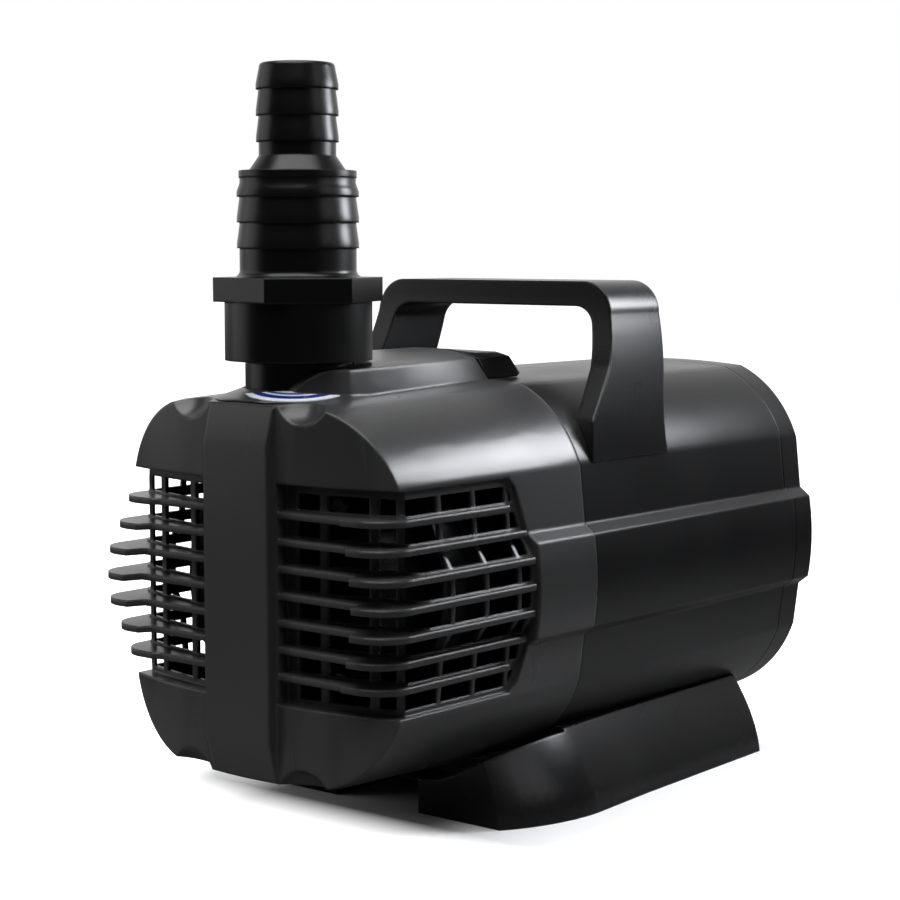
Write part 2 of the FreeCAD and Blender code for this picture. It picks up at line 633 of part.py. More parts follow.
# ------------------------------------------------------- fasteners of the case
def make_case_screws():
    """Screws of the sled, the handle and the rear cap."""
    down = FreeCAD.Rotation(FreeCAD.Vector(1, 0, 0), 180)
    sled = []
    for i, x in enumerate(("sled_screw_one_x", "sled_screw_two_x")):
        for side, y in (("near", "-sled_screw_y"), ("far", "sled_screw_y")):
            sled.append(screw(f"sled_screw_{i}_{side}", x, y, "sled_screw_z", down, "sled_screw_long",
                              "big_shank", "big_head", "big_head_tall"))
    handle = []
    for i, x in enumerate(("handle_screw_one_x", "handle_screw_two_x")):
        for side, sign in (("near", -1), ("far", 1)):
            lean = FreeCAD.Rotation(FreeCAD.Vector(-sign, 0, 0), number("handle_screw_tilt"))
            handle.append(screw(f"handle_screw_{i}_{side}", x, f"{sign} * handle_screw_y",
                                "handle_screw_z", lean, "handle_screw_long"))
    cap = []
    forward = FreeCAD.Rotation(FreeCAD.Vector(0, 1, 0), -90)
    for side, y in (("near", "-boss_y"), ("far", "boss_y")):
        for level, z in (("low", "axis_z - boss_z"), ("high", "axis_z + boss_z")):
            cap.append(screw(f"cap_screw_{side}_{level}", "cap_screw_head_x", y, z, forward,
                             "cap_screw_long", "big_shank", "big_head", "big_head_tall"))
    return group("sled_screws", *sled), group("handle_screws", *handle), group("cap_screws", *cap)


def cap_bosses(name, radius, start, end):
    """Four rods where the rear cap is screwed on."""
    rods = []
    for side, y in (("near", "-boss_y"), ("far", "boss_y")):
        for level, z in (("low", "axis_z - boss_z"), ("high", "axis_z + boss_z")):
            rods.append(rod_x(f"{name}_{side}_{level}", radius, start, end, y, z))
    return fuse(name, *rods)


# ------------------------------------------------------------------ motor shell
def make_shell(screws, latch_pin):
    """Motor shell: a tube of the casing's section with a spigot for the cage."""
    outer = tube("shell_outer", "0", "parting_x", "seam_x")
    spigot = tube("shell_spigot", "wall + spigot_gap", "parting_x - spigot_long", "parting_x + spigot_long")
    deep = tube("shell_room", "wall", "parting_x + spigot_long", "seam_x + 1")
    mouth = tube("shell_mouth", "wall + spigot_gap + spigot_wall", "parting_x - spigot_long - 1",
                 "parting_x + spigot_long + 1")
    ring = cut("shell_tube", fuse("shell_solid", outer, spigot), fuse("shell_hollow", deep, mouth))
    bosses = common("shell_bosses", cap_bosses("boss_rods", "boss_round", "seam_x - boss_long - 6.25",
                                               "seam_x - 6.25"), outer)
    knuckle_rod = rod("knuckle_rod", "knuckle_round", "2 * knuckle_half", "latch_pin_x", "knuckle_half",
                      "latch_pin_z", FreeCAD.Rotation(FreeCAD.Vector(1, 0, 0), 90))
    knuckle_foot = box("knuckle_foot", "latch_pin_x - knuckle_round", "-knuckle_half", "148",
                       "2 * knuckle_round", "2 * knuckle_half", "latch_pin_z - 148")
    blank = fuse("shell_blank", ring, bosses, knuckle_rod, knuckle_foot)
    return cut("motor_shell", blank, *screws, latch_pin)


def make_rear_cap(cap_screws):
    """Rear cap with its four screw pockets and the well of the cable gland."""
    block = tube("cap_block", "0", "seam_x + seam_gap", "rear_x - cap_round")
    rim = casing_outline("cap_rim", "rear", "rear_x - cap_round")
    face = inset("cap_face", casing_outline("cap_face_full", "rear", "rear_x"), "cap_round")
    rounded = fuse("cap_rounded", block, lofted("cap_bevel", rim, face))
    lip = tube("cap_lip", "seam_depth", "seam_x", "seam_x + seam_gap + 1")
    spigot = tube("cap_spigot", "wall + spigot_gap", "seam_x - spigot_long", "seam_x + 1")
    spigot_room = tube("cap_spigot_room", "wall + spigot_gap + spigot_wall", "seam_x - spigot_long - 1",
                       "rear_x - cap_floor")
    posts = cap_bosses("cap_posts", "boss_round - 1", "seam_x - 6.25", "rear_x - cap_floor / 2")
    post_gap = cap_bosses("cap_post_gap", "boss_round + 1", "seam_x - spigot_long - 3", "seam_x - 6.25")
    well = rod_x("well_cup", "well_round + well_wall", "well_root_x", "rear_x - 1", "0", "gland_z")
    frame = cut("cap_frame", fuse("cap_solid", rounded, lip, spigot), spigot_room)
    inside = common("cap_inside", fuse("cap_inner", posts, well), tube("cap_limit", "wall + spigot_gap",
                                                                      "seam_x - 8", "rear_x"))
    blank = fuse("cap_blank", frame, inside)
    pockets = cap_bosses("cap_pockets", "cap_screw_pocket", "cap_screw_head_x", "rear_x + 1")
    well_room = rod_x("well_room", "well_round", "well_floor_x", "rear_x + 1", "0", "gland_z")
    stem_hole = rod_x("well_hole", "gland_stem", "well_root_x - 1", "well_floor_x + 1", "0", "gland_z")
    return cut("rear_cap", blank, pockets, well_room, stem_hole, cap_screws, post_gap)


def make_gland():
    """Cable gland in the well: body, rubber seal and lock nut."""
    hexagon = doc.addObject("Part::Prism", "gland_hexagon")
    hexagon.Polygon = 6
    bind(hexagon, Circumradius="gland_hex", Height="gland_hex_x - well_floor_x")
    place(hexagon, "well_floor_x", "0", "gland_z", TO_X)
    stem = rod_x("gland_stem_rod", "gland_stem", "gland_stem_x", "well_floor_x + 1", "0", "gland_z")
    nose = rod_x("gland_nose_rod", "gland_nose", "gland_hex_x - 1", "gland_nose_x", "0", "gland_z")
    bore = rod_x("gland_bore_rod", "gland_bore", "gland_stem_x - 1", "gland_nose_x + 1", "0", "gland_z")
    seat = rod_x("gland_seat", "gland_seal_round", "gland_seal_x", "gland_nose_x - 1.5", "0", "gland_z")
    body = cut("cable_gland", fuse("gland_blank", hexagon, stem, nose), bore, seat)
    seal = cut("gland_seal", rod_x("seal_rod", "gland_seal_round", "gland_seal_x", "gland_nose_x - 1.5",
                                   "0", "gland_z"),
               rod_x("seal_bore", "gland_bore", "gland_seal_x - 1", "gland_nose_x", "0", "gland_z"))
    nut_block = doc.addObject("Part::Prism", "locknut_block")
    nut_block.Polygon = 6
    bind(nut_block, Circumradius="gland_hex", Height="well_root_x - locknut_x")
    place(nut_block, "locknut_x", "0", "gland_z", TO_X)
    nut = cut("gland_nut", nut_block, rod_x("locknut_hole", "gland_stem", "locknut_x - 1",
                                            "well_root_x + 1", "0", "gland_z"))
    return body, seal, nut


# ------------------------------------------------------------- handle and sled
def make_handle(handle_screws):
    """Carrying handle: a strap bent over the shell, leaning forward down its legs."""
    right = [
        ("handle_foot_y", "handle_foot_z"),
        ("handle_side_y", "handle_side_z", "handle_bow"),
        ("handle_shoulder_y", "bar_high_z", "handle_bend"),
    ]
    arch = slab("handle_arch", "YZ", [
        right[0],
        right[1],
        right[2],
        ("-handle_shoulder_y", "bar_high_z"),
        ("-handle_side_y", "handle_side_z", "handle_bend"),
        ("-handle_foot_y", "handle_foot_z", "handle_bow"),
        ("-grip_root_y", "handle_foot_z"),
        ("-grip_foot_y", "grip_foot_z"),
        ("-grip_side_y", "grip_side_z"),
        ("-grip_y", "bar_low_z", "-grip_bend"),
        ("grip_y", "bar_low_z"),
        ("grip_side_y", "grip_side_z", "-grip_bend"),
        ("grip_foot_y", "grip_foot_z"),
        ("grip_root_y", "handle_foot_z"),
    ], "strap_start_x", "strap_long")
    side = slab("handle_side", "XZ", [
        ("leg_toe_x", "leg_root_z"),
        ("leg_heel_x", "leg_root_z"),
        ("leg_heel_x", "leg_heel_z"),
        ("leg_rear_x", "leg_rear_z", "-leg_rear_bow"),
        ("leg_back_x", "leg_back_z", "leg_back_bow"),
        ("leg_back_x", "leg_over_z"),
        ("bar_front_x", "leg_over_z"),
        ("bar_front_x", "bar_curve_z"),
        ("leg_mid_x", "leg_mid_z", "-leg_mid_bow"),
        ("leg_front_x", "leg_front_z"),
        ("leg_toe_x", "leg_toe_z", "leg_toe_bow"),
    ], "0", "strap_wide", both=True)
    strap = common("handle_strap", arch, side)
    return cut("carry_handle", strap, tube("handle_saddle", "0", "saddle_start_x", "saddle_end_x"), handle_screws)


def make_sled(sled_screws):
    """Sled under the casing: two runners with flared sides and a saddle between."""
    levels = [("floor", "0", "0"), ("low", "sled_low_z", "sled_low_in"),
              ("half", "sled_half_z", "sled_half_in"), ("top", "sled_top_z", "sled_top_in")]
    outlines = []
    for name, z, amount in levels:
        near = [
            ("sled_front_x", f"-(sled_front_y - {amount})"),
            ("sled_wide_x", f"-(sled_wide_y - {amount})", "sled_bend"),
            ("sled_mid_x", f"-(sled_mid_y - {amount})"),
            ("sled_rear_x", f"-(sled_rear_y - {amount})"),
        ]
        far = [(x, f"-({y})") for x, y in [corner[:2] for corner in reversed(near)]]
        far[-1] = far[-1] + ("sled_bend",)
        near[0] = near[0][:2]
        outlines.append(drawn(f"sled_{name}", "XY", near + far, z))
    block = doc.addObject("Part::Loft", "sled_block")
    block.Sections = outlines
    block.Solid = True
    block.Ruled = False
    right = [
        ("channel_half", "rail_z"), ("rail_dip_y", "rail_dip_z"), ("rail_mid_y", "rail_mid_z"),
        ("rail_rim_y", "rail_rim_z"), ("rail_edge_y", "rail_edge_z"), ("rail_edge_y", "60"),
    ]
    left = [(f"-{y}", z) for y, z in reversed(right)]
    front_room = slab("sled_front_room", "YZ", right + left, "sled_front_x - 1",
                      "parting_x - sled_front_x + 1")
    channel = box("sled_channel", "sled_front_x - 1", "-channel_half", "-1",
                  "sled_rear_x - sled_front_x + 2", "2 * channel_half", "channel_z + 1")
    return cut("base_foot", block, tube("sled_saddle", "0", "parting_x - 0.5", "110"), front_room,
               channel, sled_screws)


# ----------------------------------------------------------------------- latch
def make_latch():
    """Latch that holds the cage to the shell, and the pin it turns on."""
    across = FreeCAD.Rotation(FreeCAD.Vector(1, 0, 0), 90)
    pin = rod("latch_pin", "latch_pin_round", "latch_pin_long", "latch_pin_x", "latch_pin_long / 2",
              "latch_pin_z", across)
    profile = slab("latch_profile", "XZ", [
        ("hump_back_x + latch_gap", "latch_low_z"),
        ("latch_toe_x", "latch_low_z"),
        ("latch_toe_x", "latch_toe_z"),
        ("latch_rear_x", "latch_rear_z"),
        ("hump_lip_x + latch_gap", "latch_top_z"),
        ("hump_back_x + latch_gap", "hump_back_z"),
    ], "0", "80", both=True)
    sides = tapered("latch_sides", *[[("-40", f"-{half}"), ("10", f"-{half}"), ("10", half), ("-40", half)]
                                     for half in ("hump_low_y", "hump_high_y")])
    block = common("latch_block", common("latch_shaped", profile, sides), crown("latch_crown_rod"))
    seat_closed = tube("latch_seat", "-latch_gap", "-60", "40")
    seat_open = doc.addObject("Part::Feature", "latch_seat_open")
    doc.recompute()
    pivot = FreeCAD.Vector(number("latch_pin_x"), 0, number("latch_pin_z"))
    swung = seat_closed.Shape.copy()
    swung.rotate(pivot, FreeCAD.Vector(0, 1, 0), -number("latch_open"))
    seat_open.Shape = swung
    hole = rod("latch_hole", "latch_pin_round + latch_pin_play", "latch_pin_long / 2 + 30.5",
               "latch_pin_x", "30", "latch_pin_z", across)
    notch = box("latch_notch", "latch_pin_x - 5.5", "-(knuckle_half + knuckle_gap)", "140", "20",
                "2 * (knuckle_half + knuckle_gap)", "30")
    return cut("cage_latch", block, seat_closed, seat_open, hole, notch), pin


# ------------------------------------------------------- outlet and hose adapter
def make_outlet():
    """Outlet pipe with a threaded end, its rubber ring and the gasket on its rim."""
    groove_top = "pipe_groove_z + pipe_groove_tall"
    pipe = turned("outlet_pipe", [
        ("pipe_bore", "pipe_low_z"), ("pipe_round", "pipe_low_z"), ("pipe_round", "pipe_groove_z"),
        ("pipe_groove_round", "pipe_groove_z"), ("pipe_groove_round", groove_top),
        ("pipe_round", groove_top), ("pipe_round", "pipe_step_z"), ("thread_round", "pipe_step_z"),
        ("thread_round", "pipe_top_z"), ("pipe_bore", "pipe_top_z"),
    ], x="outlet_x")
    ring = turned("pipe_o_ring", [
        ("pipe_groove_round", "pipe_groove_z + 0.3"), ("neck_socket", "pipe_groove_z + 0.3"),
        ("neck_socket", f"{groove_top} - 0.3"), ("pipe_groove_round", f"{groove_top} - 0.3"),
    ], x="outlet_x")
    gasket = turned("outlet_gasket", [
        ("pipe_bore + 0.2", "gasket_z"), ("gasket_round", "gasket_z"),
        ("gasket_round", "gasket_z + gasket_thick"), ("pipe_bore + 0.2", "gasket_z + gasket_thick"),
    ], x="outlet_x")
    return pipe, ring, gasket


def ridges(low, pitch, ridge, ridge_top, root, count):
    """Barb ridges upwards: each has a flat underside and leans in to its top."""
    points = []
    for i in range(count):
        foot = f"({low} + {pitch} * {i})"
        points += [(root, foot), (ridge, foot), (ridge, f"{foot} + ridge_land"),
                   (ridge_top, f"{foot} + {pitch} - 0.8")]
    return points


def make_adapter():
    """Two-step hose adapter: threaded collar, hexagon, large and small barbs."""
    top_barb = "(small_low_z + small_pitch * 2)"
    outside = [
        ("thread_round + thread_play", "collar_z"), ("collar_round_out", "collar_z"),
        ("collar_round_out", "nut_high_z"), ("big_root + 2", "nut_high_z"),
        ("big_root", "big_root_z", "-2.4"),
    ]
    outside += ridges("big_low_z", "big_pitch", "big_ridge", "big_ridge_top", "big_root", 2)
    last = "(big_low_z + big_pitch * 2)"
    outside += [
        ("big_root", last), ("big_ridge", last), ("big_ridge", f"{last} + ridge_land"),
        ("groove_round", "groove_z"),
        ("groove_round", "ring_z"), ("ring_round", "ring_z"), ("ring_round", "cone_z"),
        ("cone_round", "cone_z"), ("small_root", "small_root_z"),
    ]
    outside += ridges("small_low_z", "small_pitch", "small_ridge", "small_ridge_top", "small_root", 2)
    outside += [
        ("small_root", top_barb), ("small_ridge", top_barb),
        ("small_ridge", f"{top_barb} + ridge_land"), ("tip_round", "tip_z - tip_bend"),
        ("tip_round - tip_bend", "tip_z", "tip_bend"), ("small_bore", "tip_z"),
        ("small_bore", "bore_step_z + 8"), ("big_bore", "bore_step_z"),
        ("big_bore", "gasket_z + gasket_thick"),
        ("thread_round + thread_play", "gasket_z + gasket_thick"),
    ]
    stem = turned("adapter_stem", outside, x="outlet_x")
    prism = doc.addObject("Part::Prism", "adapter_hexagon")
    prism.Polygon = 6
    bind(prism, Circumradius="nut_round", Height="nut_high_z - nut_low_z")
    place(prism, "outlet_x", "0", "nut_low_z", FreeCAD.Rotation(FreeCAD.Vector(0, 0, 1), 21))
    core = rod("adapter_core", "big_bore + 5", "nut_high_z - nut_low_z", "outlet_x", "0", "nut_low_z")
    return fuse("hose_adapter", stem, cut("adapter_nut", prism, core))


def make_label():
    """Blank leaf-shaped label on the slope in front of the outlet pipe."""
    half = "label_tip * sin(label_angle)"
    base = "label_tip * cos(label_angle)"
    inner = f"(({half})^2 + (label_inner - {base})^2) / (2 * (label_inner - {base}))"
    outer = f"(({half})^2 + (label_outer - {base})^2) / (2 * (label_outer - {base}))"
    leaf = slab("label_leaf", "XY", [(base, f"-{half}", f"-({inner})"), (base, half, outer)],
                "0", "200")
    place(leaf, "outlet_x", "0", "0", FreeCAD.Rotation(FreeCAD.Vector(0, 0, 1), number("label_turn")))
    lifted = common("label_lifted", leaf, collar_cone("label_cone", "label_thick"))
    return cut("name_label", lifted, doc.getObject("strainer_cage"))


# ------------------------------------------------------------- wet end and motor
def make_volute(volute_screws, housing_screws):
    """Volute housing with its outlet neck, its cover and the ring between them."""
    chamber = turned_x("volute_turning", [
        ("volute_bore", "volute_x"), ("ring_seat - ring_wide / 2", "volute_x"),
        ("ring_seat - ring_wide / 2", "volute_x + ring_deep"),
        ("ring_seat + ring_wide / 2", "volute_x + ring_deep"),
        ("ring_seat + ring_wide / 2", "volute_x"), ("volute_round", "volute_x"),
        ("volute_round", "volute_floor_x"), ("volute_flange", "volute_floor_x"),
        ("volute_flange", "volute_back_x"), ("shaft_gate", "volute_back_x"),
        ("shaft_gate", "volute_floor_x"), ("volute_bore", "volute_floor_x"),
    ])
    neck = rod("neck_rod", "neck_round", "neck_top_z - neck_low_z", "outlet_x", "0", "neck_low_z")
    foot = box("neck_foot", "volute_x", "-neck_foot_half", "110", "volute_back_x - volute_x",
               "2 * neck_foot_half", "neck_low_z - 110")
    foot_core = rod_x("neck_foot_core", "volute_bore + 4", "volute_x - 1", "volute_back_x + 1")
    foot_clear = cut("neck_foot_clear", foot, foot_core)
    throat = box("throat", "volute_x + 1.5", "-throat_half", "throat_low_z",
                 "volute_floor_x - volute_x - 3", "2 * throat_half", "neck_seat_z - throat_low_z + 1")
    socket = rod("neck_socket_rod", "neck_socket", "20", "outlet_x", "0", "neck_seat_z")
    housing = cut("volute_housing", fuse("volute_blank", chamber, neck, foot_clear), throat, socket,
                  volute_screws, housing_screws)
    cover = cut("volute_cover", turned_x("cover_turning", [
        ("eye_round", "eye_x"), ("eye_lip", "eye_x"), ("eye_lip", "cover_x"),
        ("volute_round", "cover_x"), ("volute_round", "volute_x"), ("eye_round", "volute_x"),
    ]), volute_screws)
    ring = ring_x("volute_o_ring", "ring_seat - ring_wide / 2", "ring_seat + ring_wide / 2",
                  "volute_x", "volute_x + ring_deep")
    return housing, cover, ring


def make_impeller():
    """Impeller: hub, back shroud and swept vanes."""
    body = doc.addObject("PartDesign::Body", "impeller")
    plane = origin_plane(body, "XZ_Plane")
    profile = body.newObject("Sketcher::SketchObject", "impeller_profile")
    profile.AttachmentSupport = [(plane, "")]
    profile.MapMode = "FlatFace"
    draw(profile, [
        ("shaft_round", "0"), ("hub_round", "0"),
        ("hub_round", "impeller_back_x - impeller_x - shroud_thick"),
        ("impeller_round", "impeller_back_x - impeller_x - shroud_thick"),
        ("impeller_round", "impeller_back_x - impeller_x"),
        ("shaft_round", "impeller_back_x - impeller_x"),
    ])
    doc.recompute()
    turning = body.newObject("PartDesign::Revolution", "impeller_turn")
    turning.Profile = profile
    turning.ReferenceAxis = (profile, ["V_Axis"])
    turning.Angle = 360
    doc.recompute()
    vane = body.newObject("Sketcher::SketchObject", "vane_outline")
    vane.AttachmentSupport = [(origin_plane(body, "XY_Plane"), "")]
    vane.MapMode = "FlatFace"
    vane.setExpression("AttachmentOffset.Base.z", formula("vane_lift"))
    draw(vane, [
        ("hub_round - 1", "0"),
        ("hub_round - 1", "-vane_thick"),
        ("impeller_round - 6", "-15.5", "30"),
        ("impeller_round - 5.2", "-14"),
    ])
    doc.recompute()
    pad = body.newObject("PartDesign::Pad", "vane_pad")
    pad.Profile = vane
    bind(pad, Length="impeller_back_x - impeller_x - shroud_thick - 2")
    doc.recompute()
    pattern = body.newObject("PartDesign::PolarPattern", "vanes")
    pattern.Originals = [pad]
    pattern.Axis = ([item for item in body.Origin.OriginFeatures if item.Role == "Z_Axis"][0], [""])
    pattern.Angle = 360
    bind(pattern, Occurrences="vane_count")
    body.Tip = pattern
    return place(body, "impeller_x", "0", "axis_z", TO_X)


def make_rotor():
    """Ceramic shaft, magnet and the two thrust washers beside it."""
    shaft = rod_x("rotor_shaft", "shaft_round", "shaft_front_x", "shaft_rear_x")
    magnet = ring_x("rotor_magnet", "shaft_round", "magnet_round", "magnet_front_x", "magnet_rear_x")
    front = ring_x("front_washer", "shaft_round", "washer_round", "magnet_front_x - washer_thick",
                   "magnet_front_x")
    rear = ring_x("rear_washer", "shaft_round", "washer_round", "magnet_rear_x",
                  "magnet_rear_x + washer_thick")
    return shaft, magnet, group("thrust_washers", front, rear)


def make_bearings():
    """Bushes, their rubber boots and the plate that carries the front pair."""
    bushes = []
    for name, start, end in (("front", "bush_front_x", "bush_front_end_x"),
                             ("rear", "bush_rear_x", "bush_rear_end_x")):
        bushes.append(ring_x(name + "_bearing", "shaft_round + shaft_play", "bush_round", start, end))
        bushes.append(ring_x(name + "_boot", "bush_round", "boot_round", start, end))
    plate = turned_x("bearing_plate", [
        ("shaft_gate - 3", "volute_back_x"), ("plate_round", "volute_back_x"),
        ("plate_round", "volute_back_x + plate_thick"), ("plate_hub", "volute_back_x + plate_thick"),
        ("plate_hub", "bush_front_end_x"), ("boot_round", "bush_front_end_x"),
        ("boot_round", "bush_front_x"), ("shaft_gate - 3", "bush_front_x"),
    ])
    return bushes + [plate]


def make_can():
    """Separation can: the closed sleeve that keeps the stator dry, and its ring."""
    can = turned_x("separation_can", [
        ("plate_round", "volute_back_x"),
        ("can_ring_seat - can_ring_wide / 2", "volute_back_x"),
        ("can_ring_seat - can_ring_wide / 2", "volute_back_x + can_ring_deep"),
        ("can_ring_seat + can_ring_wide / 2", "volute_back_x + can_ring_deep"),
        ("can_ring_seat + can_ring_wide / 2", "volute_back_x"),
        ("can_flange", "volute_back_x"), ("can_flange", "can_seat_x"), ("can_outer", "can_seat_x"),
        ("can_outer", "can_step_x + 2"), ("can_tail", "can_step_x + 2"), ("can_tail", "can_end_x"),
        ("0", "can_end_x"), ("0", "can_floor_x"), ("boot_round", "can_floor_x"),
        ("boot_round", "can_step_x"), ("can_bore", "can_step_x"),
        ("can_bore", "volute_back_x + plate_thick"), ("plate_round", "volute_back_x + plate_thick"),
    ])
    ring = ring_x("can_o_ring", "can_ring_seat - can_ring_wide / 2", "can_ring_seat + can_ring_wide / 2",
                  "volute_back_x", "volute_back_x + can_ring_deep")
    return can, ring


def sector(name, outer, inner, start, end, trim):
    """Six ring sectors round the motor axis, as slots or as coils."""
    blocks = []
    for index in range(int(number("slot_count"))):
        wedge = doc.addObject("Part::Cylinder", f"{name}_wedge_{index}")
        bind(wedge, Radius=outer, Height=f"{end} - ({start})", Angle=f"slot_angle - {trim}")
        spin = FreeCAD.Rotation(FreeCAD.Vector(0, 0, 1), 60 * index - number(f"slot_angle - {trim}") / 2)
        place(wedge, start, "0", "axis_z", TO_X.multiply(spin))
        hub = rod_x(f"{name}_hub_{index}", inner, f"{start} - 1", f"{end} + 1")
        blocks.append(cut(f"{name}_{index}", wedge, hub))
    return blocks


def make_stator():
    """Laminated stack with six slots, and the six coils that fill them."""
    stack = ring_x("stack_ring", "stator_bore", "stator_round", "stator_front_x", "stator_rear_x")
    slots = sector("slot", "slot_outer", "slot_inner", "stator_front_x - 1", "stator_rear_x + 1", "0")
    coils = sector("coil", "slot_outer - coil_gap", "slot_inner + coil_gap",
                   "stator_front_x - coil_overhang", "stator_rear_x + coil_overhang", "1.5")
    return cut("stator_stack", stack, *slots), group("stator_coils", *coils)


def make_motor_housing(housing_screws, end_screws):
    """Motor housing round the stator, and the cover that closes its rear."""
    turning = turned_x("housing_turning", [
        ("can_flange", "volute_back_x"), ("volute_flange", "volute_back_x"),
        ("volute_flange", "housing_web_x"), ("housing_round", "housing_web_x"),
        ("housing_round", "housing_rear_x"), ("stator_round", "housing_rear_x"),
        ("stator_round", "housing_web_x"), ("housing_gate", "housing_web_x"),
        ("housing_gate", "can_seat_x"), ("can_flange", "can_seat_x"),
    ])
    flat = box("housing_flat", "volute_back_x - 1", "-30", "neck_low_z - 0.5",
               "housing_web_x - volute_back_x + 2", "60", "20")
    housing = cut("motor_housing", turning, flat, housing_screws, end_screws)
    lead = rod_x("lead_hole_rod", "lead_hole", "housing_rear_x - 1", "end_cover_x + 1", "0",
                 "axis_z + 22")
    cover = cut("housing_end_cover", ring_x("end_cover_disc", "0", "housing_round", "housing_rear_x",
                                            "end_cover_x"), lead, end_screws)
    return housing, cover


def make_dampers():
    """Two rubber frames that hold the motor housing inside the shell."""
    frames = []
    for name, start, amount in (
            ("front", "damper_one_x", "wall + spigot_gap + spigot_wall + damper_gap"),
            ("rear", "damper_two_x", "wall + damper_gap")):
        end = f"{start} + damper_thick"
        plate = tube(f"damper_{name}_plate", amount, start, end)
        bore = rod_x(f"damper_{name}_bore", "housing_round", f"{start} - 1", f"{end} + 1")
        frames.append(cut(f"damper_{name}", plate, bore))
    return group("vibration_dampers", *frames)


def build():
    """All sub-parts in the order they are put together."""
    sled_screws, handle_screws, cap_screws = make_case_screws()
    latch, latch_pin = make_latch()
    volute_screws = axial_screws("volute_screws", "cover_x", "volute_screw_circle", "volute_screw_long")
    housing_screws = axial_screws("housing_screws", "volute_floor_x", "flange_screw_circle",
                                  "flange_screw_long")
    back = FreeCAD.Rotation(FreeCAD.Vector(0, 1, 0), -90)
    end_screws = axial_screws("end_cover_screws", "end_cover_x", "end_screw_circle",
                              "end_screw_long", back)
    parts = [make_cage(), make_shell((sled_screws, handle_screws, cap_screws), latch_pin),
             make_rear_cap(cap_screws), make_handle(handle_screws), make_sled(sled_screws),
             latch, latch_pin, make_label(), make_adapter(), make_impeller(), make_dampers(),
             sled_screws, handle_screws, cap_screws, volute_screws, housing_screws, end_screws]
    for several in (make_gland(), make_outlet(), make_volute(volute_screws, housing_screws),
                    make_rotor(), make_bearings(), make_can(), make_stator(),
                    make_motor_housing(housing_screws, end_screws)):
        parts.extend(several)
    return parts


def export(parts):
    """Check every object, then write one file for each sub-part."""
    doc.recompute()
    failed = [f"{item.Name}: {item.State}" for item in doc.Objects
              if "Invalid" in item.State or "Error" in item.State]
    if failed:
        raise RuntimeError("; ".join(failed))
    for item in parts:
        item.Label = item.Name
        if item.Shape.isNull() or not item.Shape.isValid() or not item.Shape.Solids:
            raise RuntimeError(f"{item.Name} has no sound solid")
    for item in parts:
        item.Shape.exportStep(f"parts/{item.Label}.step")
        bounds = item.Shape.BoundBox
        print(f"{item.Label}: {len(item.Shape.Solids)} solid(s), {item.Shape.Volume / 1000:.2f} cm3, "
              f"x {bounds.XMin:.1f}..{bounds.XMax:.1f} y {bounds.YMin:.1f}..{bounds.YMax:.1f} "
              f"z {bounds.ZMin:.1f}..{bounds.ZMax:.1f}")


export(build())
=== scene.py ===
import json
import math

import bpy
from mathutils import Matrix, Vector


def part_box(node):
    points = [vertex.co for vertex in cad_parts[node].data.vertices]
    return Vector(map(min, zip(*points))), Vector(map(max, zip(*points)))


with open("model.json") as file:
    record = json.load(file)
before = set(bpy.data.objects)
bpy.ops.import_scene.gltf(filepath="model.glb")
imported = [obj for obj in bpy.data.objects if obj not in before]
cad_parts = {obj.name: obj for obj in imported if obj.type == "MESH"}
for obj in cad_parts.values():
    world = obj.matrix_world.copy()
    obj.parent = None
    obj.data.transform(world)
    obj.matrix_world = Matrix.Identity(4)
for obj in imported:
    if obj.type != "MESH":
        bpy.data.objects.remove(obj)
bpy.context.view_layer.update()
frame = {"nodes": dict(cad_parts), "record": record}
nodes = frame["nodes"]
MM = 0.001

# Octaves of a noise, and the range that most of its values lie in.
PLAIN_DETAIL = 2.0
FINE_DETAIL = 3.0
USUAL_LOW = 0.35
USUAL_HIGH = 0.65


# ----------------------------------------------------------------- node helpers
def new_material(name):
    """An empty node material, its tree and its Principled shader."""
    material = bpy.data.materials.new(name)
    material.use_nodes = True
    tree = material.node_tree
    return material, tree, tree.nodes["Principled BSDF"]


def add(tree, kind, **settings):
    """A node with some of its settings filled in."""
    node = tree.nodes.new(kind)
    for key, value in settings.items():
        setattr(node, key, value)
    return node


def feed(tree, socket, value):
    """Fill an input from another node's output, or with a number, vector or RGB."""
    if isinstance(value, bpy.types.NodeSocket):
        tree.links.new(value, socket)
    elif socket.type == "RGBA":
        socket.default_value = (*value, 1)
    else:
        socket.default_value = value


def number(tree, operation, *values):
    """A number worked out from others."""
    node = add(tree, "ShaderNodeMath", operation=operation)
    for socket, value in zip(node.inputs, values):
        feed(tree, socket, value)
    return node.outputs["Value"]


def vector(tree, operation, *values, output="Vector"):
    """A vector worked out from others, or a number where output is Value."""
    node = add(tree, "ShaderNodeVectorMath", operation=operation)
    for socket, value in zip(node.inputs, values):
        feed(tree, socket, value)
    return node.outputs[output]


def mixed(tree, factor, first, second, kind="RGBA"):
    """A colour, or a number where kind is FLOAT, between two by a factor."""
    mix = add(tree, "ShaderNodeMix", data_type=kind)
    feed(tree, mix.inputs["Factor"], factor)
    feed(tree, mix.inputs["A"], first)
    feed(tree, mix.inputs["B"], second)
    return mix.outputs["Result"]


def here(tree, space="Object"):
    """The shaded point's place, or in a world its direction, with space Generated."""
    return add(tree, "ShaderNodeTexCoord").outputs[space]


def noise(tree, cells, detail=PLAIN_DETAIL):
    """Noise in object space, in cells per metre, with finer octaves added to them."""
    texture = add(tree, "ShaderNodeTexNoise")
    feed(tree, texture.inputs["Scale"], cells)
    feed(tree, texture.inputs["Detail"], detail)
    feed(tree, texture.inputs["Vector"], here(tree))
    return texture.outputs["Fac"]


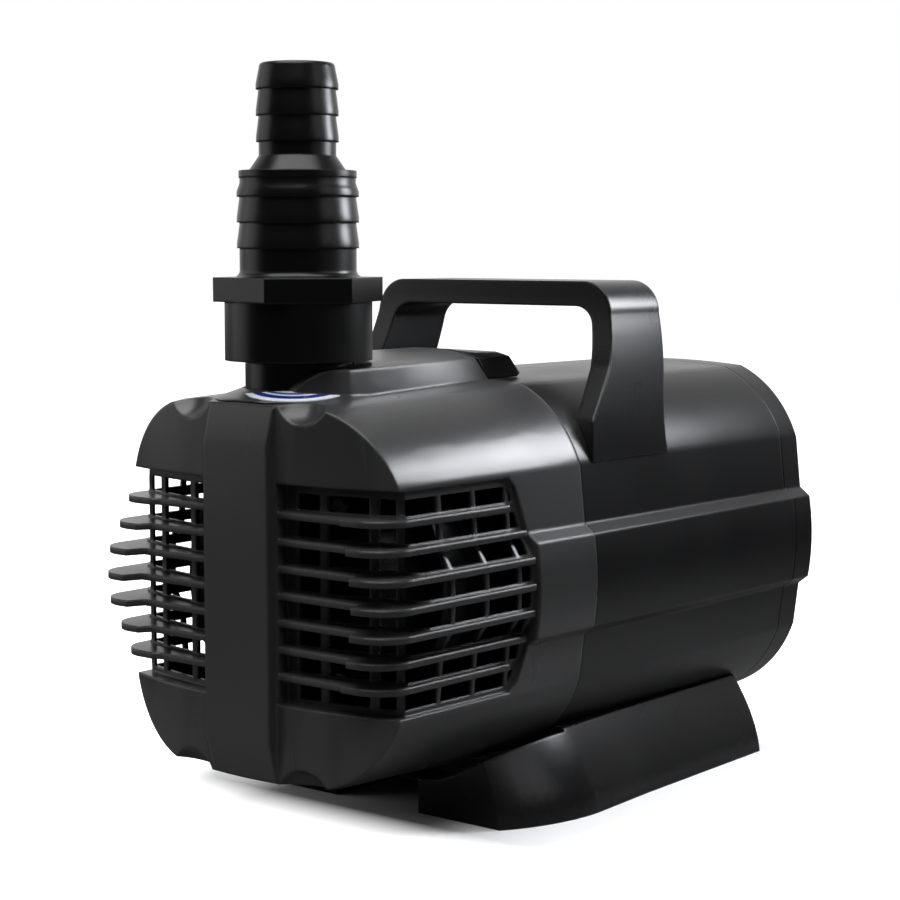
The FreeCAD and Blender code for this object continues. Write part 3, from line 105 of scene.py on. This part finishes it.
def spread(tree, source, low, high, start=USUAL_LOW, end=USUAL_HIGH, ease="LINEAR"):
    """A number mapped from start..end, by default a noise's usual range, to low..high."""
    ramp = add(tree, "ShaderNodeMapRange", interpolation_type=ease)
    feed(tree, ramp.inputs["Value"], source)
    feed(tree, ramp.inputs["From Min"], start)
    feed(tree, ramp.inputs["From Max"], end)
    feed(tree, ramp.inputs["To Min"], low)
    feed(tree, ramp.inputs["To Max"], high)
    return ramp.outputs["Result"]


def bumped(tree, shader, height, strength, depth):
    """Give the shader a bump from a height, and return the bump node."""
    bump = add(tree, "ShaderNodeBump")
    feed(tree, bump.inputs["Strength"], strength)
    feed(tree, bump.inputs["Distance"], depth)
    feed(tree, bump.inputs["Height"], height)
    feed(tree, shader.inputs["Normal"], bump.outputs["Normal"])
    return bump


# -------------------------------------------------------------------- materials
# Noise sizes are in cells per metre. A plastic's colour and gloss ease over nearly the
# whole of their noise, WIDE_RANGE, so that no patch of either has an edge.
DRIFT_CELLS = 14.0
GLOSS_CELLS = 40.0
GRAIN_CELLS = 2600.0
GRAIN_STRENGTH = 0.12
GRAIN_DEPTH = 0.03 * MM
WIDE_RANGE = (0.2, 0.8, "SMOOTHSTEP")
BEVEL_SAMPLES = 6

# Pointiness is 0.5 on a face and rises on an outer edge. Outer edges get a painted
# highlight, a lighter colour standing in for the light that rounded edges catch. The
# first number below is how far an edge goes from the plastic's own colour to the
# highlight colour, which is the light tone times GAIN plus LIFT.
EDGE_RANGE = (0.52, 0.60)
EDGE_HIGHLIGHT = 0.35
HIGHLIGHT_GAIN = 1.8
HIGHLIGHT_LIFT = 0.004

FILM_GLOSS_CELLS = 300.0
FILM_ROUGHNESS = (0.18, 0.28)
FILM_GRAIN_CELLS = 1800.0
FILM_STRENGTH = 0.1
FILM_DEPTH = 0.02 * MM

STREAK_CELLS = 900.0
METAL_GLOSS_CELLS = 400.0
METAL_GRAIN_CELLS = 1500.0
METAL_STRENGTH = 0.2
METAL_DEPTH = 0.03 * MM
METAL_GLOSSIEST = 0.8
METAL_DULLEST = 1.3

# The label is a crescent in front of the outlet: the radius of its outer arc, its depth
# from that arc, how far the arc reaches from the outlet's axis, and which way.
LABEL_ARC = 16.8 * MM
LABEL_DEPTH = 8.0 * MM
LABEL_REACH = 27.2 * MM
LABEL_TURN = math.radians(218)
OUTLET_X = (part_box("outlet_pipe")[0][0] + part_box("outlet_pipe")[1][0]) / 2
LABEL_CENTRE = (OUTLET_X + (LABEL_REACH - LABEL_ARC) * math.cos(LABEL_TURN),
                (LABEL_REACH - LABEL_ARC) * math.sin(LABEL_TURN), 0)
WHITE_INK = (0.74, 0.78, 0.84)
NAVY_INK = (0.012, 0.028, 0.20)
BLUE_INK = (0.05, 0.10, 0.34)
# Share of the label's depth at which each colour starts, from the outer arc inwards.
LABEL_BANDS = ((0.0, WHITE_INK), (0.22, NAVY_INK), (0.48, WHITE_INK), (0.60, BLUE_INK),
               (0.76, WHITE_INK))


def painted_edge_highlight(tree):
    """0 on faces, rising on outer edges: the share of painted highlight, a lighter colour
    standing in for the light that rounded edges catch.
    """
    shape = add(tree, "ShaderNodeNewGeometry")
    edge = spread(tree, shape.outputs["Pointiness"], 0.0, 1.0, *EDGE_RANGE)
    return number(tree, "MULTIPLY", edge, EDGE_HIGHLIGHT)


def plastic(name, dark, light, rough_low, rough_high, specular, radius):
    """Moulded plastic: colour drift, eroded grain, uneven gloss and a painted highlight
    on its edges.

    The bevel node rounds the shading of its sharp edges, as small mould radii do.
    """
    material, tree, shader = new_material(name)
    drift = spread(tree, noise(tree, DRIFT_CELLS), 0.0, 1.0, *WIDE_RANGE)
    gloss = spread(tree, noise(tree, GLOSS_CELLS), rough_low, rough_high, *WIDE_RANGE)
    # Colour of the painted edge highlight: the plastic's light tone, made lighter still.
    highlight_tone = [tone * HIGHLIGHT_GAIN + HIGHLIGHT_LIFT for tone in light]
    body = mixed(tree, painted_edge_highlight(tree), mixed(tree, drift, dark, light), highlight_tone)
    feed(tree, shader.inputs["Base Color"], body)
    feed(tree, shader.inputs["Roughness"], gloss)
    feed(tree, shader.inputs["Specular IOR Level"], specular)
    grain = noise(tree, GRAIN_CELLS)
    bump = bumped(tree, shader, grain, GRAIN_STRENGTH, GRAIN_DEPTH)
    rounding = add(tree, "ShaderNodeBevel", samples=BEVEL_SAMPLES)
    feed(tree, rounding.inputs["Radius"], radius * MM)
    feed(tree, bump.inputs["Normal"], rounding.outputs["Normal"])
    return material


def printed_film(name):
    """White label film with two blue bands that follow the label's outer arc."""
    material, tree, shader = new_material(name)
    level = vector(tree, "MULTIPLY", here(tree), (1, 1, 0))
    away = vector(tree, "DISTANCE", level, LABEL_CENTRE, output="Value")
    inward = spread(tree, away, 0.0, 1.0, LABEL_ARC, LABEL_ARC - LABEL_DEPTH)
    bands = add(tree, "ShaderNodeValToRGB")
    feed(tree, bands.inputs["Fac"], inward)
    ramp = bands.color_ramp
    ramp.interpolation = "CONSTANT"
    ramp.elements.remove(ramp.elements[1])
    ramp.elements[0].color = (*LABEL_BANDS[0][1], 1)
    for position, ink in LABEL_BANDS[1:]:
        ramp.elements.new(position).color = (*ink, 1)
    gloss = spread(tree, noise(tree, FILM_GLOSS_CELLS, FINE_DETAIL), *FILM_ROUGHNESS)
    feed(tree, shader.inputs["Base Color"], bands.outputs["Color"])
    feed(tree, shader.inputs["Roughness"], gloss)
    bumped(tree, shader, noise(tree, FILM_GRAIN_CELLS), FILM_STRENGTH, FILM_DEPTH)
    return material


def metal(name, first, second, rough):
    """Metal with fine streaks between two colours, round a middling roughness."""
    material, tree, shader = new_material(name)
    streak = spread(tree, noise(tree, STREAK_CELLS, FINE_DETAIL), 0.0, 1.0)
    gloss = spread(tree, noise(tree, METAL_GLOSS_CELLS, FINE_DETAIL),
                   rough * METAL_GLOSSIEST, rough * METAL_DULLEST)
    feed(tree, shader.inputs["Base Color"], mixed(tree, streak, first, second))
    feed(tree, shader.inputs["Metallic"], 1.0)
    feed(tree, shader.inputs["Roughness"], gloss)
    bumped(tree, shader, noise(tree, METAL_GRAIN_CELLS), METAL_STRENGTH, METAL_DEPTH)
    return material


# Darkest and lightest colour, lowest and highest roughness, specular level, and the
# radius in mm to which edges are shaded. The names are the record's material slots,
# and handle_plastic is the shell's plastic where it is glossier.
CHARCOAL = ((0.030, 0.030, 0.0305), (0.036, 0.036, 0.0365))
BLACK = ((0.004, 0.004, 0.0045), (0.006, 0.006, 0.0065))
PLASTICS = {
    "cage_plastic": (*CHARCOAL, 0.27, 0.31, 0.5, 1.5),
    "shell_plastic": (*BLACK, 0.28, 0.33, 0.4, 1.3),
    "handle_plastic": (*BLACK, 0.26, 0.30, 0.5, 1.3),
    "adapter_plastic": ((0.002, 0.002, 0.002), (0.003, 0.003, 0.003),
                        0.27, 0.33, 0.4, 0.8),
    "latch_plastic": ((0.003, 0.003, 0.003), (0.004, 0.004, 0.004), 0.16, 0.20, 0.5, 0.8),
    "inner_plastic": ((0.003, 0.003, 0.003), (0.005, 0.005, 0.005), 0.5, 0.6, 0.3, 0.8),
    "seal_rubber": ((0.012, 0.012, 0.012), (0.02, 0.02, 0.02), 0.6, 0.8, 0.5, 0.8),
    "ferrite": ((0.05, 0.05, 0.055), (0.07, 0.07, 0.075), 0.5, 0.6, 0.5, 0.8),
    "bush_ceramic": ((0.70, 0.68, 0.62), (0.78, 0.76, 0.70), 0.15, 0.25, 0.5, 0.8),
}
# The streaks' two colours, and the roughness, which varies by the factors above.
METALS = {
    "stainless_steel": ((0.24, 0.24, 0.25), (0.34, 0.34, 0.35), 0.38),
    "lamination_steel": ((0.22, 0.22, 0.23), (0.32, 0.32, 0.33), 0.45),
    "copper_winding": ((0.60, 0.26, 0.12), (0.72, 0.36, 0.20), 0.35),
}
MATERIALS = {"label_film": printed_film("label_film")}
for name, row in PLASTICS.items():
    MATERIALS[name] = plastic(name, *row)
for name, row in METALS.items():
    MATERIALS[name] = metal(name, *row)

SLOTS = {row["node"]: row["material_slot"] for row in frame["record"]["subparts"]}
GLOSSIER = ("carry_handle", "base_foot")
for name, piece in nodes.items():
    look = "handle_plastic" if name in GLOSSIER else SLOTS[name]
    piece.data.materials.clear()
    piece.data.materials.append(MATERIALS[look])


# ---------------------------------------------------------------- edge rounding
WELD_REACH = 0.005 * MM
FLAT_ANGLE = math.radians(0.5)
EDGE_ANGLE = math.radians(28)
BEVEL_SEGMENTS = 2


def soften(piece, width):
    """Merge a CAD mesh's flat triangles and round its sharp edges a little."""
    piece.data.polygons.foreach_set("use_smooth", [True] * len(piece.data.polygons))
    weld = piece.modifiers.new("weld", "WELD")
    weld.merge_threshold = WELD_REACH
    flat = piece.modifiers.new("flat", "DECIMATE")
    flat.decimate_type = "DISSOLVE"
    flat.angle_limit = FLAT_ANGLE
    bevel = piece.modifiers.new("bevel", "BEVEL")
    bevel.width = width
    bevel.segments = BEVEL_SEGMENTS
    bevel.limit_method = "ANGLE"
    bevel.angle_limit = EDGE_ANGLE
    level = piece.modifiers.new("level", "WEIGHTED_NORMAL")
    level.keep_sharp = True


# Width of each piece's rounded edges, in mm.
ROUNDING = {
    "strainer_cage": 0.45, "motor_shell": 0.4, "rear_cap": 0.5, "carry_handle": 1.1,
    "base_foot": 0.6, "hose_adapter": 0.3, "cage_latch": 0.6, "outlet_pipe": 0.3,
    "cable_gland": 0.3, "gland_nut": 0.3, "volute_housing": 0.4, "volute_cover": 0.4,
}
for name, width in ROUNDING.items():
    soften(nodes[name], width * MM)


# ------------------------------------------------------------- camera and studio
# Places are in metres. The camera looks along HEADING, a little downwards.
HEADING = math.radians(39.5)
PITCH = math.radians(5.54)
CAMERA_SPOT = Vector((-0.6066, -0.4874, 0.1969))
LENS = 84.96
SENSOR_WIDTH = 36.0

# The backdrop is bright along HEADING and dim the other way; the range is of cosines.
ROOM_DIM = 0.03
ROOM_BRIGHT = 0.9
ROOM_RANGE = (0.3, 0.95)

# The paper is PAPER white to the camera, but it throws little light back on the pump,
# and less further out. Beyond SHADE_RANGE from the sled it shows as plain white.
FLOOR_HALF = 6.0
PAPER = 0.93
PAPER_ROUGHNESS = 0.8
BOUNCE_NEAR = 0.20
BOUNCE_FAR = 0.03
BOUNCE_RANGE = (0.05, 0.5)
SHADE_RANGE = (0.010, 0.030)

# Spot, target, size, radiance and colour. The overhead lights the tops, the shoulder
# light draws the highlight on the nose, and the other three fill in the sides.
MIDDLE = (0, 0, 0.1)
SOFTBOXES = {
    "overhead": ((-0.40, -0.10, 1.7), MIDDLE, 1.8, 4.2, (0.98, 0.985, 1.0)),
    "shoulder": ((0.214, -0.216, 0.292), (-0.07, -0.045, 0.13), 0.12, 20.0,
                 (0.93, 0.95, 1.0)),
    "right": ((1.2, -1.0, 0.6), MIDDLE, 0.85, 0.07, (0.96, 0.97, 1.0)),
    "near": ((0.25, -1.4, 0.75), MIDDLE, 0.7, 0.9, (0.96, 0.97, 1.0)),
    "left": ((-0.84, 1.42, 0.5), MIDDLE, 1.1, 0.9, (1.0, 1.0, 1.0)),
}


def aim(thing, spot, target):
    """Put a camera or light at a spot, looking at a target."""
    thing.location = spot
    look = Vector(target) - Vector(spot)
    thing.rotation_euler = look.to_track_quat("-Z", "Y").to_euler()


def make_camera():
    """Camera for a product shot: level with the outlet, turned to the nose."""
    camera = bpy.data.objects.new("camera", bpy.data.cameras.new("camera"))
    bpy.context.scene.collection.objects.link(camera)
    camera.data.lens = LENS
    camera.data.sensor_width = SENSOR_WIDTH
    look = Vector((math.cos(PITCH) * math.cos(HEADING),
                   math.cos(PITCH) * math.sin(HEADING), -math.sin(PITCH)))
    aim(camera, CAMERA_SPOT, CAMERA_SPOT + look)
    bpy.context.scene.camera = camera


def make_softbox(name, spot, target, size, radiance, colour):
    """A square area light of a given brightness, which the camera doesn't see."""
    light = bpy.data.lights.new(name, "AREA")
    light.size = size
    light.energy = radiance * math.pi * size * size
    light.color = colour
    holder = bpy.data.objects.new(name, light)
    bpy.context.scene.collection.objects.link(holder)
    holder.visible_camera = False
    aim(holder, spot, target)


def make_world():
    """White backdrop to the camera; to the pump, bright behind it and dim in front."""
    world = bpy.data.worlds.new("studio")
    bpy.context.scene.world = world
    world.use_nodes = True
    tree = world.node_tree
    background = tree.nodes["Background"]
    heading = (math.cos(HEADING), math.sin(HEADING), 0)
    facing = vector(tree, "DOT_PRODUCT", here(tree, "Generated"), heading, output="Value")
    room = spread(tree, facing, ROOM_DIM, ROOM_BRIGHT, *ROOM_RANGE)
    seen = add(tree, "ShaderNodeLightPath").outputs["Is Camera Ray"]
    feed(tree, background.inputs["Color"], (1, 1, 1))
    feed(tree, background.inputs["Strength"], mixed(tree, seen, room, 1.0, "FLOAT"))


def sled_distance(tree):
    """How far a point of the floor lies outside the sled's footprint, in metres."""
    low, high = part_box("base_foot")
    centred = vector(tree, "SUBTRACT", here(tree), ((low[0] + high[0]) / 2, 0, 0))
    folded = vector(tree, "ABSOLUTE", centred)
    outside = vector(tree, "SUBTRACT", folded, ((high[0] - low[0]) / 2, high[1], 0))
    clear = vector(tree, "MAXIMUM", outside, (0, 0, 0))
    return vector(tree, "LENGTH", clear, output="Value")


def make_floor():
    """Sheet of paper that takes the pump's shadow and fades into the backdrop."""
    mesh = bpy.data.meshes.new("floor")
    corners = [(-FLOOR_HALF, -FLOOR_HALF, 0), (FLOOR_HALF, -FLOOR_HALF, 0),
               (FLOOR_HALF, FLOOR_HALF, 0), (-FLOOR_HALF, FLOOR_HALF, 0)]
    mesh.from_pydata(corners, [], [(0, 1, 2, 3)])
    floor = bpy.data.objects.new("floor", mesh)
    bpy.context.scene.collection.objects.link(floor)
    material, tree, shader = new_material("floor_white")
    seen = add(tree, "ShaderNodeLightPath").outputs["Is Camera Ray"]
    reach = sled_distance(tree)
    bounce = spread(tree, reach, BOUNCE_NEAR, BOUNCE_FAR, *BOUNCE_RANGE)
    paper = mixed(tree, seen, bounce, (PAPER, PAPER, PAPER))
    glow = spread(tree, reach, 0.0, 1.0, *SHADE_RANGE)
    shown = number(tree, "MULTIPLY", glow, seen)
    feed(tree, shader.inputs["Base Color"], paper)
    feed(tree, shader.inputs["Roughness"], PAPER_ROUGHNESS)
    feed(tree, shader.inputs["Specular IOR Level"], 0.0)
    feed(tree, shader.inputs["Emission Color"], (1, 1, 1))
    feed(tree, shader.inputs["Emission Strength"], shown)
    floor.data.materials.append(material)


bpy.context.scene.view_settings.view_transform = "Standard"
make_camera()
make_world()
make_floor()
for name, row in SOFTBOXES.items():
    make_softbox(name, *row)
